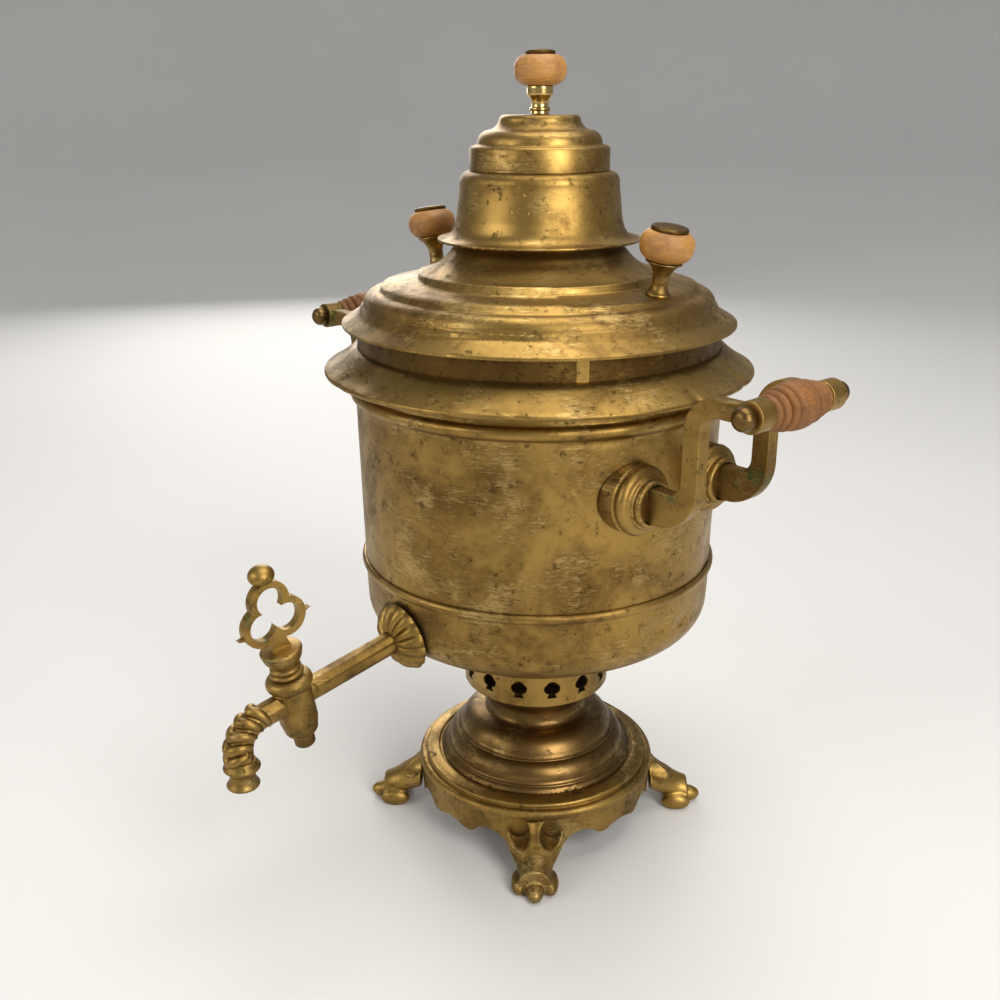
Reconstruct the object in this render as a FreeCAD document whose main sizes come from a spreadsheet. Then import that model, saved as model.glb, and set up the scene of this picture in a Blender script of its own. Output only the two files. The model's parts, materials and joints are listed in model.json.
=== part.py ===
import FreeCAD, Part
import math
import os
import Sketcher
from FreeCAD import Placement, Rotation, Vector

# Charcoal-fired brass samovar, modelled in millimetres.
# +Z is up, the tap points to -Y and the two side handles stand at +X and -X. The pieces are
# laid out round the body's upright axis. The finished samovar is then moved along Y, so that
# the origin is on the floor in the middle of its footprint, between the tap and the rim's back.

# Every driving size, with the words that describe it
SIZES = {
    # Materials and fits
    "sheet_wall": (1.2, "thickness of the spun brass sheet"),
    "cast_wall": (3.0, "thickness of the cast base"),
    "seat_gap": (0.3, "gap between pieces that sit on or in each other"),
    "running_gap": (0.06, "radial clearance of a turning fit"),
    # Cast base
    "base_height": (43.2, "floor to the land that carries the pedestal"),
    "base_margin": (14.2, "how far the base ridge stands out beyond the pedestal's flange"),
    "base_hole_radius": (50.0, "opening under the pedestal"),
    "apron_height": (16.8, "floor to the lowest edge of the apron"),
    "scallop_rise": (6.8, "height of the arches beside each foot"),
    "scallop_reach": (29.0, "distance from the pendant's middle to the top of an arch"),
    "lobe_reach": (14.0, "distance from the pendant's middle to a lobe"),
    "lobe_rise": (2.2, "height of the lobes over the apron's lowest edge"),
    "notch_rise": (4.6, "height of the small notch between the lobes"),
    "foot_turn": (2.0, "angle that the base is turned by on the pedestal"),
    # Paw feet
    "foot_length": (33.5, "base ridge to the tip of the middle toe"),
    "foot_width": (37.0, "width of the fan that meets the apron"),
    "ankle_width": (18.5, "narrowest width of the foot"),
    "rib_width": (5.2, "narrowest width of the rib down the foot"),
    "toe_radius": (5.6, "half the width of a toe"),
    "toe_spread": (18.5, "distance between the two outer toes"),
    # Pedestal
    "pedestal_height": (50.8, "base land to the lower edge of the air collar"),
    "flange_radius": (60.8, "radius of the pedestal's foot flange"),
    "bead_radius": (49.6, "radius of the thin bead round the pedestal"),
    "neck_radius": (30.0, "narrowest radius of the pedestal"),
    # Pierced air collar
    "vent_radius": (44.8, "outer radius of the pierced collar"),
    "vent_height": (20.2, "height of the pierced collar"),
    "vent_lap": (5.0, "length of collar that laps over the pedestal"),
    "vent_count": (14, "number of air holes"),
    "vent_turn": (8.0, "angle from the tap to the first air hole"),
    "hole_width": (9.8, "widest width of an air hole"),
    "hole_height": (11.0, "height of an air hole"),
    # Grate
    "grate_thickness": (3.0, "thickness of the grate"),
    "slot_width": (4.5, "width of a grate slot"),
    "slot_pitch": (9.0, "distance between grate slots"),
    # Fire tube
    "tube_radius": (41.4, "outer radius of the fire tube at its top"),
    "firebox_radius": (43.0, "outer radius of the fire tube at its bottom"),
    "firebox_height": (85.0, "height over which the fire tube narrows"),
    "ledge_width": (4.5, "width of the ledge that carries the grate"),
    # Body
    "bowl_height": (65.8, "height of the bowl"),
    "bowl_corner": (24.0, "height of the bowl under its straight part"),
    "bowl_flat_radius": (88.0, "radius where the bowl turns to its bottom"),
    "body_radius": (103.4, "outer radius at the joint of bowl and wall"),
    "wall_flare": (1.5, "how much wider the wall is at its top"),
    "wall_height": (108.2, "height of the wall"),
    "top_bead": (2.7, "how far the bead under the rim stands out"),
    "band_height": (5.2, "height of the half-round band"),
    "rim_reach": (18.1, "how far the drip rim stands out beyond the body's joint"),
    "rim_height": (18.6, "top of the wall to the top of the drip rim"),
    "rim_drop": (12.2, "how far the rim's edge lies under its top"),
    "throat_inset": (0.6, "how much narrower the upright throat is than the body's joint"),
    "throat_height": (16.4, "top of the rim to the top of the throat"),
    # Lid
    "lid_radius": (110.8, "outer radius of the lid"),
    "lid_drop": (4.2, "how far the lid's edge hangs under its seat"),
    "lid_turn": (6.0, "angle that the lid is turned by"),
    "step_radius": (99.9, "radius of the lid's lowest step"),
    "land_radius": (88.3, "outer radius of the land that carries the knobs"),
    "cone_radius": (67.7, "radius at the foot of the lid's cone"),
    "lid_neck_radius": (45.6, "outer radius of the lid's neck"),
    "lid_rise": (43.0, "seat of the lid to the top of its neck"),
    "skirt_depth": (14.0, "depth of the skirt inside the throat"),
    # Crown on the fire tube
    "crown_radius": (45.6, "outer radius of the crown's wall"),
    "crown_flare": (56.2, "outer radius of the crown's skirt"),
    "crown_lift": (40.4, "seat of the lid to the lower edge of the crown"),
    "crown_height": (36.6, "height of the crown"),
    "crown_mouth": (34.9, "radius of the crown's opening"),
    # Cap
    "cap_radius": (38.1, "outer radius of the cap's band"),
    "cap_height": (28.2, "height of the cap"),
    "cap_band": (11.2, "height of the cap's upright band"),
    "cap_top_radius": (20.4, "radius of the cap's flat top"),
    "spigot_depth": (8.0, "depth of the cap's spigot in the crown"),
    # Knobs
    "ball_radius": (14.0, "radius of a wooden ball"),
    "ball_height": (15.2, "height of a wooden ball"),
    "button_radius": (8.0, "radius of the button on the finial"),
    "knob_button_radius": (9.6, "radius of the buttons on the lid knobs"),
    "button_height": (2.6, "height of a button"),
    "finial_height": (14.4, "height of the finial's stem"),
    "knob_height": (17.8, "height of a lid knob's stem"),
    "knob_place": (81.0, "axis to the foot of a lid knob"),
    "knob_lean": (9.7, "angle that a lid knob leans outwards by"),
    "stud_radius": (2.0, "radius of the stud through a ball"),
    "nut_width": (9.0, "width across the flats of a nut"),
    "nut_height": (3.4, "height of a nut"),
    # Handles
    "arm_spacing": (56.0, "distance between the two arms of a handle"),
    "arm_thickness": (8.0, "thickness of an arm"),
    "arm_width": (10.2, "width of an arm"),
    "arm_drop": (43.6, "top of the wall to the middle of an arm's root"),
    "arm_root_width": (18.6, "height of an arm's root"),
    "arm_stand": (139.4, "axis to the middle of an arm's upright"),
    "rod_reach": (172.3, "axis to the handle's rod"),
    "rod_rise": (57.6, "middle of an arm's root to the handle's rod"),
    "rod_radius": (2.6, "radius of the handle's rod"),
    "eye_radius": (7.8, "radius of the eye at the end of an arm"),
    "eye_length": (11.0, "length of an arm's eye"),
    "rod_end_radius": (5.8, "radius of the rod's end buttons"),
    "rod_end_length": (8.0, "length of the rod's end buttons"),
    "grip_radius": (12.3, "largest radius of the wooden grip"),
    "grip_end_radius": (7.6, "radius of the wooden grip at its ends"),
    "boss_radius": (18.4, "radius of the boss that an arm stands in"),
    "boss_depth": (15.0, "how far the boss stands off the wall"),
    "boss_mouth": (10.6, "radius of the boss's opening"),
    # Tap
    "tap_height": (153.6, "floor to the tap's axis at the wall"),
    "tap_tilt": (10.0, "angle that the tap points down by"),
    "tap_reach": (73.0, "wall to the barrel's axis"),
    "tube_width": (12.2, "width across the flats of the tap's tube"),
    "bore_radius": (3.2, "radius of the water way"),
    "shank_radius": (6.2, "radius of the shank through the wall"),
    "shank_length": (13.5, "length of the shank inside the wall"),
    "barrel_radius": (10.3, "radius of the barrel"),
    "barrel_top": (15.4, "tap's axis to the top of the barrel"),
    "barrel_bottom": (21.5, "tap's axis to the bottom of the barrel"),
    "plug_radius": (7.2, "radius of the plug at the top of the barrel"),
    "plug_tip_radius": (5.6, "radius of the plug's lower end"),
    "plug_tip": (29.5, "tap's axis to the lower end of the plug"),
    "spout_reach": (20.0, "barrel's axis to the start of the bend"),
    "bend_radius": (16.0, "radius of the spout's bend"),
    "spout_drop": (19.5, "length of the spout under the bend"),
    "mouth_radius": (8.6, "radius of the spout's lip"),
    "cup_radius": (10.8, "radius of the key's cup"),
    "cup_height": (31.5, "tap's axis to the rim of the key's cup"),
    "trefoil_height": (52.5, "tap's axis to the middle of the trefoil"),
    "trefoil_reach": (8.0, "middle of the trefoil to the middle of a ring"),
    "ring_radius": (7.3, "inner radius of a trefoil ring"),
    "ring_width": (3.7, "width of a trefoil ring"),
    "key_thickness": (5.0, "thickness of the trefoil"),
    "point_reach": (21.0, "key's axis to the tips of its side points"),
    "key_ball_radius": (6.8, "radius of the ball on the key"),
    "key_ball_height": (10.4, "height of the ball on the key"),
    "rosette_radius": (20.5, "radius of the tap's rosette"),
    "rosette_height": (9.5, "height of the tap's rosette"),
    "flute_count": (16, "number of flutes in the rosette"),
}


class Size:
    """A number that also knows the sheet formula it comes from."""

    def __init__(self, value, text):
        self.value = float(value)
        self.text = text

    @staticmethod
    def of(other):
        if isinstance(other, Size):
            return other
        return Size(other, "({:.6g})".format(float(other)))

    def __add__(self, other):
        other = Size.of(other)
        return Size(self.value + other.value, "({} + {})".format(self.text, other.text))

    def __sub__(self, other):
        other = Size.of(other)
        return Size(self.value - other.value, "({} - {})".format(self.text, other.text))

    def __mul__(self, other):
        other = Size.of(other)
        return Size(self.value * other.value, "({} * {})".format(self.text, other.text))

    def __truediv__(self, other):
        other = Size.of(other)
        return Size(self.value / other.value, "({} / {})".format(self.text, other.text))

    def __radd__(self, other):
        return Size.of(other) + self

    def __rsub__(self, other):
        return Size.of(other) - self

    def __rmul__(self, other):
        return Size.of(other) * self

    def __neg__(self):
        return Size(-self.value, "(-{})".format(self.text))


def square_root(size):
    """The square root of a size, as a size."""
    return Size(math.sqrt(size.value), "sqrt({})".format(size.text))


class Sizes:
    """The sheet's sizes, each one an attribute under its own name."""

    def __init__(self, document):
        sheet = document.addObject("Spreadsheet::Sheet", "sizes")
        for row, (name, (value, words)) in enumerate(SIZES.items(), start=1):
            sheet.set("A{}".format(row), words)
            sheet.set("B{}".format(row), str(value))
            sheet.setAlias("B{}".format(row), name)
            setattr(self, name, Size(value, "sizes.{}".format(name)))


doc = FreeCAD.newDocument("samovar")
S = Sizes(doc)
doc.recompute()

# Levels up the samovar, each one built on the one below
Z_LAND = S.base_height
Z_VENT = Z_LAND + S.pedestal_height
Z_BOWL = Z_VENT + S.vent_height
Z_BAND = Z_BOWL + S.bowl_height
Z_WALL = Z_BAND + S.wall_height
Z_RIM = Z_WALL + S.rim_height
Z_SEAT = Z_RIM + S.throat_height
Z_CROWN = Z_SEAT + S.crown_lift
Z_CAP = Z_CROWN + S.crown_height + 0.3 * S.sheet_wall
Z_TOP = Z_CAP + S.cap_height
Z_ROOT = Z_WALL - S.arm_drop

# Radii that follow from the pieces they stand on
BASE = S.flange_radius + S.base_margin
TOE = BASE + S.foot_length
THROAT = S.body_radius - S.throat_inset
RIM = S.body_radius + S.rim_reach

# The lid's two knobs and the angles that they stand at
KNOB_ANGLES = {"right": 0, "left": 180}

# Half the length of the cylinder that drills a hole through a sheet
DRILL_REACH = 12.0

pieces = {}


# Sketching
def origin_plane(body, role):
    """One of the three planes of a body's own origin."""
    for feature in body.Origin.OriginFeatures:
        if feature.Role == role:
            return feature
    raise ValueError(role)


def new_sketch(body, role, name, shift=None):
    """An empty sketch on one of the body's origin planes."""
    sketch = body.newObject("Sketcher::SketchObject", name)
    sketch.AttachmentSupport = [(origin_plane(body, role), "")]
    sketch.MapMode = "FlatFace"
    if shift is not None:
        sketch.AttachmentOffset = shift
    return sketch


def bind(sketch, index, size):
    """Ties one constraint of a sketch to the sheet."""
    if "sizes." in size.text:
        sketch.setExpression("Constraints[{}]".format(index), size.text)


def fix_point(sketch, element, end, across, up):
    """Holds a point of a sketch at two sizes from the sketch's origin."""
    for size, kind, axis in ((across, "DistanceX", -2), (up, "DistanceY", -1)):
        if abs(size.value) < 1e-9:
            sketch.addConstraint(Sketcher.Constraint("PointOnObject", element, end, axis))
        elif size.value > 0:
            held = Sketcher.Constraint(kind, -1, 1, element, end, size.value)
            bind(sketch, sketch.addConstraint(held), size)
        else:
            held = Sketcher.Constraint(kind, element, end, -1, 1, -size.value)
            bind(sketch, sketch.addConstraint(held), -size)


def bow_radius(start, end, bow):
    """The radius of an arc whose height is the share bow of its chord."""
    across = end[0] - start[0]
    up = end[1] - start[1]
    chord = square_root(across * across + up * up)
    share = abs(bow)
    return chord * (share / 2 + 1 / (8 * share))


def outline(sketch, corners, closed=True):
    """Draws lines and arcs through corners (across, up) or (across, up, bow).

    bow belongs to the stretch that ends at its corner: an arc whose height is that share of
    its chord, standing out to the right of the way that the outline runs when it is positive.
    """
    points = [(Size.of(c[0]), Size.of(c[1])) for c in corners]
    bows = [c[2] if len(c) > 2 else 0 for c in corners]
    count = len(corners)
    ends = []
    for index in range(count if closed else count - 1):
        start, end = points[index], points[(index + 1) % count]
        bow = bows[(index + 1) % count]
        a = Vector(start[0].value, start[1].value, 0)
        b = Vector(end[0].value, end[1].value, 0)
        if bow:
            middle = (a + b) / 2 + Vector(b.y - a.y, a.x - b.x, 0) * bow
            element = sketch.addGeometry(Part.Arc(a, middle, b), False)
            first = 1 if sketch.getPoint(element, 1).isEqual(a, 1e-6) else 2
            radius = bow_radius(start, end, bow)
            held = Sketcher.Constraint("Radius", element, radius.value)
            ends.append((element, first, 3 - first))
            radius_held = (held, radius)
        else:
            element = sketch.addGeometry(Part.LineSegment(a, b), False)
            ends.append((element, 1, 2))
            radius_held = None
        fix_point(sketch, element, ends[-1][1], start[0], start[1])
        if radius_held:
            bind(sketch, sketch.addConstraint(radius_held[0]), radius_held[1])
    for index in range(len(ends) - (0 if closed else 1)):
        element, _, last = ends[index]
        following, first, _ = ends[(index + 1) % len(ends)]
        held = Sketcher.Constraint("Coincident", element, last, following, first)
        sketch.addConstraint(held)
    if not closed:
        element, _, last = ends[-1]
        fix_point(sketch, element, last, points[-1][0], points[-1][1])
    return sketch


def circle(sketch, across, up, radius):
    """Draws a circle whose place and radius come from the sheet."""
    across, up, radius = Size.of(across), Size.of(up), Size.of(radius)
    centre = Vector(across.value, up.value, 0)
    element = sketch.addGeometry(Part.Circle(centre, Vector(0, 0, 1), radius.value), False)
    fix_point(sketch, element, 3, across, up)
    bind(sketch, sketch.addConstraint(Sketcher.Constraint("Radius", element, radius.value)), radius)
    return sketch


def polygon(sketch, sides, flats):
    """Draws a regular polygon about the sketch's origin, with the given width across its flats."""
    reach = Size.of(flats) / (2 * math.cos(math.pi / sides))
    corners = []
    for index in range(sides):
        angle = 2 * math.pi * (index + 0.5) / sides
        corners.append((reach * math.cos(angle), reach * math.sin(angle)))
    return outline(sketch, corners)


# Solids
def new_body(name, place=None):
    """A body with its own name, put where the piece belongs."""
    body = doc.addObject("PartDesign::Body", name)
    body.Label = name
    if place is not None:
        body.Placement = place
    pieces[name] = body
    return body


def revolve(body, corners, name, shift=None, role="XZ_Plane", cut=False):
    """Turns a closed outline about the upright axis of its sketch."""
    sketch = outline(new_sketch(body, role, name + "_outline", shift), corners)
    kind = "PartDesign::Groove" if cut else "PartDesign::Revolution"
    feature = body.newObject(kind, name)
    feature.Profile = sketch
    feature.ReferenceAxis = (sketch, ["V_Axis"])
    feature.Angle = 360
    body.Tip = feature
    return feature


def turned(name, corners, place=None):
    """A piece turned from one closed outline."""
    body = new_body(name, place)
    revolve(body, corners, name + "_turned")
    return body


def pad(body, sketch, length, name):
    """Thickens a sketch by the same amount on both of its sides."""
    feature = body.newObject("PartDesign::Pad", name)
    feature.Profile = sketch
    feature.SideType = "Symmetric"
    feature.Length = length.value
    feature.setExpression("Length", length.text)
    body.Tip = feature
    return feature


def pocket(body, sketch, name, both_ways=True, away=False):
    """Cuts a sketch right through the body, on both sides of its plane or on one."""
    feature = body.newObject("PartDesign::Pocket", name)
    feature.Profile = sketch
    feature.Type = "ThroughAll"
    if both_ways:
        feature.SideType = "Symmetric"
    feature.Reversed = away
    body.Tip = feature
    return feature


def polar(body, features, axis, count, name):
    """Repeats features evenly about an axis."""
    pattern = body.newObject("PartDesign::PolarPattern", name)
    pattern.Originals = features
    pattern.Axis = axis
    pattern.Angle = 360
    pattern.Occurrences = int(count.value)
    pattern.setExpression("Occurrences", count.text)
    body.Tip = pattern
    return pattern


def drill(body, name, radius, place):
    """Cuts a round hole through a sheet, about the Z axis of the given place."""
    hole = body.newObject("PartDesign::SubtractiveCylinder", name)
    hole.Radius = radius.value
    hole.setExpression("Radius", radius.text)
    hole.Height = 2 * DRILL_REACH
    hole.Placement = place.multiply(Placement(Vector(0, 0, -DRILL_REACH), Rotation()))
    body.Tip = hole
    return hole


def tangents(corners, index):
    """Unit tangents of an open outline where it arrives at and leaves a corner."""
    found = []
    for first in (index - 1, index):
        if first < 0 or first + 1 >= len(corners):
            continue
        start, end = corners[first], corners[first + 1]
        across = Size.of(end[0]).value - Size.of(start[0]).value
        up = Size.of(end[1]).value - Size.of(start[1]).value
        bow = end[2] if len(end) > 2 else 0
        turn = 2 * math.atan(2 * bow)
        if first == index:
            turn = -turn
        direction = math.atan2(up, across) + turn
        found.append(Vector(math.cos(direction), math.sin(direction), 0))
    return found


def sheet_outline(corners, wall):
    """Closes an open outline into a sheet of even thickness on the left of its run."""
    inside = []
    for index, corner in enumerate(corners):
        normals = [Vector(-t.y, t.x, 0) for t in tangents(corners, index)]
        total = normals[0] + normals[-1]
        share = total / (1 + normals[0].dot(normals[-1]))
        across = Size.of(corner[0]) + wall * share.x
        up = Size.of(corner[1]) + wall * share.y
        bow = corners[index + 1][2] if index + 1 < len(corners) and len(corners[index + 1]) > 2 else 0
        inside.append((across, up, -bow))
    return list(corners) + inside[::-1]


def spun(name, corners, place=None):
    """A piece spun from sheet: an outline of its skin, with the metal on the left of its run."""
    return turned(name, sheet_outline(corners, S.sheet_wall), place)


# Base and feet
def make_base():
    rim = BASE
    land = S.flange_radius + 1.2
    low = S.apron_height
    wall = S.cast_wall
    body = turned("base_plate", [
        (S.base_hole_radius, Z_LAND),
        (land, Z_LAND),
        (land + 0.8, Z_LAND + 1.0),
        (rim - 5.8, Z_LAND, -0.05),
        (rim - 4.2, Z_LAND - 2.0, -0.25),
        (rim - 4.0, Z_LAND - 3.0),
        (rim - 3.0, Z_LAND - 2.8),
        (rim, Z_LAND - 6.6, -0.25),
        (rim - 0.2, Z_LAND - 7.8),
        (rim - 1.4, Z_LAND - 8.8),
        (rim - 1.6, low),
        (rim - 1.6 - wall, low),
        (rim - 2.0 - wall, Z_LAND - 9.6),
        (rim - 8.6 - wall, Z_LAND - wall),
        (S.base_hole_radius, Z_LAND - wall),
    ])
    arch, lobe = S.scallop_reach, S.lobe_reach
    root = arch + 9.0
    below = low - 8.0
    edge = [
        (root, low, 0),
        (arch + 1.0, low + S.scallop_rise, 0.14),
        (lobe + 5.0, low + S.lobe_rise + 1.2, 0.16),
        (lobe - 5.0, low + S.lobe_rise + 0.6, -0.16),
        (0.0, low + S.notch_rise, 0.05),
    ]
    left = [(-Size.of(x), z, bow) for x, z, bow in edge[:-1]]
    mirrored = [(left[i][0], left[i][1], edge[i + 1][2]) for i in range(len(left) - 1, -1, -1)]
    corners = [(root, below), *edge, *mirrored, (-root, below)]
    sketch = outline(new_sketch(body, "XZ_Plane", "scallop_outline"), corners)
    cut = pocket(body, sketch, "scallop", both_ways=False, away=True)
    polar(body, [cut], (origin_plane(body, "Z_Axis"), [""]), Size(4, "4"), "scallops")
    body.Placement = Placement(Vector(0, 0, 0), Rotation(Vector(0, 0, 1), S.foot_turn.value))


def section(body, name, reach, width, bottom, top):
    """An oval section of a foot, square to the way that the foot points."""
    shift = Placement(Vector(0, 0, reach.value), Rotation())
    sketch = new_sketch(body, "XZ_Plane", name, shift)
    sketch.setExpression("AttachmentOffset.Base.z", reach.text)
    half, middle = width / 2, (top + bottom) / 2
    bow = 0.2
    return outline(sketch, [
        (half, middle, bow),
        (0.0, top, bow),
        (-half, middle, bow),
        (0.0, bottom, bow),
    ])


def ball(body, kind, name, radii, centre):
    """An ellipsoid added to a body or cut from it."""
    feature = body.newObject("PartDesign::{}Ellipsoid".format(kind), name)
    for label, size in zip(("Radius2", "Radius3", "Radius1"), radii):
        size = Size.of(size)
        setattr(feature, label, size.value)
        if "sizes." in size.text:
            feature.setExpression(label, size.text)
    feature.Angle1 = -90
    feature.Angle2 = 90
    feature.Angle3 = 360
    feature.Placement = Placement(Vector(*(Size.of(c).value for c in centre)), Rotation())
    body.Tip = feature
    return feature


def make_foot(name, angle):
    body = new_body(name)
    root = BASE - 1.0
    tip = TOE
    stations = [
        ("root", root, S.foot_width, S.apron_height - 3.4, Z_LAND - 9.2),
        ("shin", root + 9.0, (S.foot_width + S.ankle_width) / 2, S.apron_height - 8.6, Z_LAND - 17.0),
        ("ankle", tip - 15.0, S.ankle_width, S.toe_radius * 0.4, Z_LAND - 23.6),
        ("knuckle", tip - 9.0, S.ankle_width + 1.5, Size.of(0.6), S.toe_radius * 3.0),
    ]
    sketches = [section(body, name + "_" + part, *sizes) for part, *sizes in stations]
    loft = body.newObject("PartDesign::AdditiveLoft", name + "_leg")
    loft.Profile = sketches[0]
    loft.Sections = sketches[1:]
    body.Tip = loft
    toe = S.toe_radius
    length = toe * 2.0
    height = toe * 1.05
    ball(body, "Additive", name + "_middle_toe", (toe, length, height),
         (0, -(tip - length), height * 0.8))
    for side, word in ((-1, "left"), (1, "right")):
        ball(body, "Additive", name + "_" + word + "_toe", (toe * 0.85, length * 0.85, height),
             (side * S.toe_spread / 2, -(tip - length * 0.85 - 7.0), height * 0.78))
        ball(body, "Subtractive", name + "_" + word + "_scoop",
             (S.foot_width * 0.2, S.foot_length * 0.42, S.foot_width * 0.22),
             (side * (S.foot_width * 0.2 + S.rib_width / 2), -(root + 9.5), Z_LAND - 13.4))
    floor = body.newObject("PartDesign::SubtractiveBox", name + "_sole")
    floor.Length = floor.Width = 2 * tip.value
    floor.Height = 4 * toe.value
    floor.Placement = Placement(Vector(-tip.value, -1.5 * tip.value, -4 * toe.value), Rotation())
    body.Tip = floor
    turn = angle + S.foot_turn.value
    body.Placement = Placement(Vector(0, 0, 0), Rotation(Vector(0, 0, 1), turn))


# Pedestal, air collar, grate and fire tube
def make_pedestal():
    wall = S.sheet_wall
    flange, bead, neck = S.flange_radius, S.bead_radius, S.neck_radius
    spigot = S.vent_radius - S.sheet_wall - S.seat_gap
    foot = Z_LAND + 0.1
    turned("pedestal", [
        (flange, foot),
        (flange, foot + wall),
        (flange - 3.2, foot + wall + 0.9),
        (flange - 3.4, foot + 3.8, 0.3),
        (flange - 4.6, foot + 4.6),
        (flange - 4.8, foot + 5.7),
        (bead - 0.3, Z_LAND + 15.2, 0.16),
        (bead, Z_LAND + 16.6, 0.4),
        (bead - 1.4, Z_LAND + 17.6),
        (neck + 4.4, Z_LAND + 28.4, 0.16),
        (neck, Z_LAND + 33.0, -0.2),
        (neck, Z_LAND + 37.0),
        (neck + 6.0, Z_VENT - 6.0, -0.1),
        (spigot, Z_VENT - 0.4, 0.12),
        (spigot, Z_VENT + S.vent_lap),
        (spigot - wall, Z_VENT + S.vent_lap),
        (spigot - wall, Z_VENT - 0.2),
        (neck + 5.0, Z_VENT - 4.6, -0.12),
        (neck - wall, Z_LAND + 37.4, 0.1),
        (neck - wall, Z_LAND + 32.0),
        (neck + 2.6, Z_LAND + 27.6, 0.15),
        (bead - 3.2, Z_LAND + 16.4, -0.16),
        (flange - 6.6, Z_LAND + 4.6, -0.1),
        (flange - 6.6, foot),
    ])


def make_air_collar():
    outer = S.vent_radius
    inner = outer - S.sheet_wall
    body = turned("air_collar", [(outer, Z_VENT), (outer, Z_BOWL), (inner, Z_BOWL), (inner, Z_VENT)])
    half = S.hole_width / 2
    rise = S.hole_height
    foot = Z_VENT + S.vent_lap + 0.4
    right = [
        (half * 0.62, foot, 0),
        (half * 0.42, foot + rise * 0.26, 0),
        (half * 0.7, foot + rise * 0.8, 0.36),
    ]
    left = [
        (-right[2][0], right[2][1], 0.32),
        (-right[1][0], right[1][1], 0.36),
        (-right[0][0], right[0][1], 0),
    ]
    sketch = outline(new_sketch(body, "XZ_Plane", "air_hole_outline"), right + left)
    hole = pocket(body, sketch, "air_hole", both_ways=False, away=True)
    polar(body, [hole], (origin_plane(body, "Z_Axis"), [""]), S.vent_count, "air_holes")
    body.Placement = Placement(Vector(0, 0, 0), Rotation(Vector(0, 0, 1), S.vent_turn.value))


def make_fire_tube():
    top = Z_CROWN + S.crown_height - S.sheet_wall - 2.6
    wide = S.firebox_radius
    bottom = Z_BOWL - 1.4
    spun("fire_tube", [
        (wide - S.ledge_width, bottom),
        (wide, bottom),
        (wide, bottom + 14.0),
        (S.tube_radius, bottom + S.firebox_height),
        (S.tube_radius, top),
    ])
    grate_bottom = bottom + S.sheet_wall + 0.1
    radius = wide - S.sheet_wall - 0.5
    body = turned("grate", [
        (0.0, grate_bottom),
        (radius, grate_bottom),
        (radius, grate_bottom + S.grate_thickness),
        (0.0, grate_bottom + S.grate_thickness),
    ])
    slots = body.newObject("Sketcher::SketchObject", "grate_slots_outline")
    slots.AttachmentSupport = [(origin_plane(body, "XY_Plane"), "")]
    slots.MapMode = "FlatFace"
    half = S.slot_width / 2
    reach = radius - S.ledge_width
    for index in range(-3, 4):
        middle = index * S.slot_pitch
        length = reach * (0.95 - 0.062 * index * index)
        outline(slots, [
            (-length, middle - half, 0.4),
            (length, middle - half),
            (length, middle + half, 0.4),
            (-length, middle + half),
        ])
    pocket(body, slots, "grate_slots", both_ways=True)


# Body of the samovar
def make_shell():
    joint = S.body_radius
    corner = S.bowl_flat_radius
    straight = Z_BOWL + S.bowl_corner
    rim = joint + S.wall_flare
    hole = S.firebox_radius + S.seat_gap + S.sheet_wall / 2
    spun("bowl", [
        (hole, Z_BOWL + 0.2),
        (corner, straight, 0.03),
        (joint - 0.5, straight + 20.0, 0.18),
        (joint, Z_BAND - 0.1, 0.01),
    ])
    along_tap = Placement(Vector(0, S.tap_reach.value, 0), Rotation(Vector(1, 0, 0), 90))
    drill(pieces["bowl"], "shank_hole", S.shank_radius + S.seat_gap, tap_frame().multiply(along_tap))
    spun("body_wall", [
        (joint, Z_BAND + 0.1),
        (rim, Z_WALL - 16.0),
        (rim - 0.5, Z_WALL - 12.0),
        (rim + 0.5, Z_WALL - 10.6),
        (rim + 0.5, Z_WALL - 3.4, S.top_bead.value / 7.2),
        (rim - 0.3, Z_WALL - 2.6),
        (rim - 0.3, Z_WALL),
    ])
    half = S.band_height / 2
    inner = joint + S.seat_gap
    turned("bead_band", [
        (inner, Z_BAND - half),
        (inner + 0.6, Z_BAND - half),
        (inner + 0.6, Z_BAND + half, 0.28),
        (inner, Z_BAND + half),
    ])
    edge = RIM
    throat = THROAT + S.seat_gap
    low = Z_RIM - S.rim_drop
    wall = S.sheet_wall
    turned("rim_flare", [
        (rim - 1.3, Z_WALL + S.seat_gap),
        (rim + 1.5, Z_WALL + S.seat_gap),
        (edge - 1.2, low - 2.2),
        (edge - 0.4, low + 0.6, 0.4),
        (throat + 2.0, Z_RIM - 0.4, -0.04),
        (throat, Z_RIM),
        (throat, Z_RIM - 1.4 * wall),
        (edge - 4.4, low + 0.2, 0.04),
        (rim - 1.3, Z_WALL + S.seat_gap + 1.2 * wall),
    ])
    inside = THROAT - wall
    turned("throat", [
        (THROAT, Z_WALL - 6.0),
        (THROAT, Z_SEAT),
        (inside, Z_SEAT),
        (inside, Z_WALL - 6.0),
    ])


# Lid, crown and cap
def lid_land(radius):
    """Height of the lid's land at a radius."""
    slope = 3.4 / 19.8
    return Z_SEAT + 16.8 + (S.land_radius - radius) * slope


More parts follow.
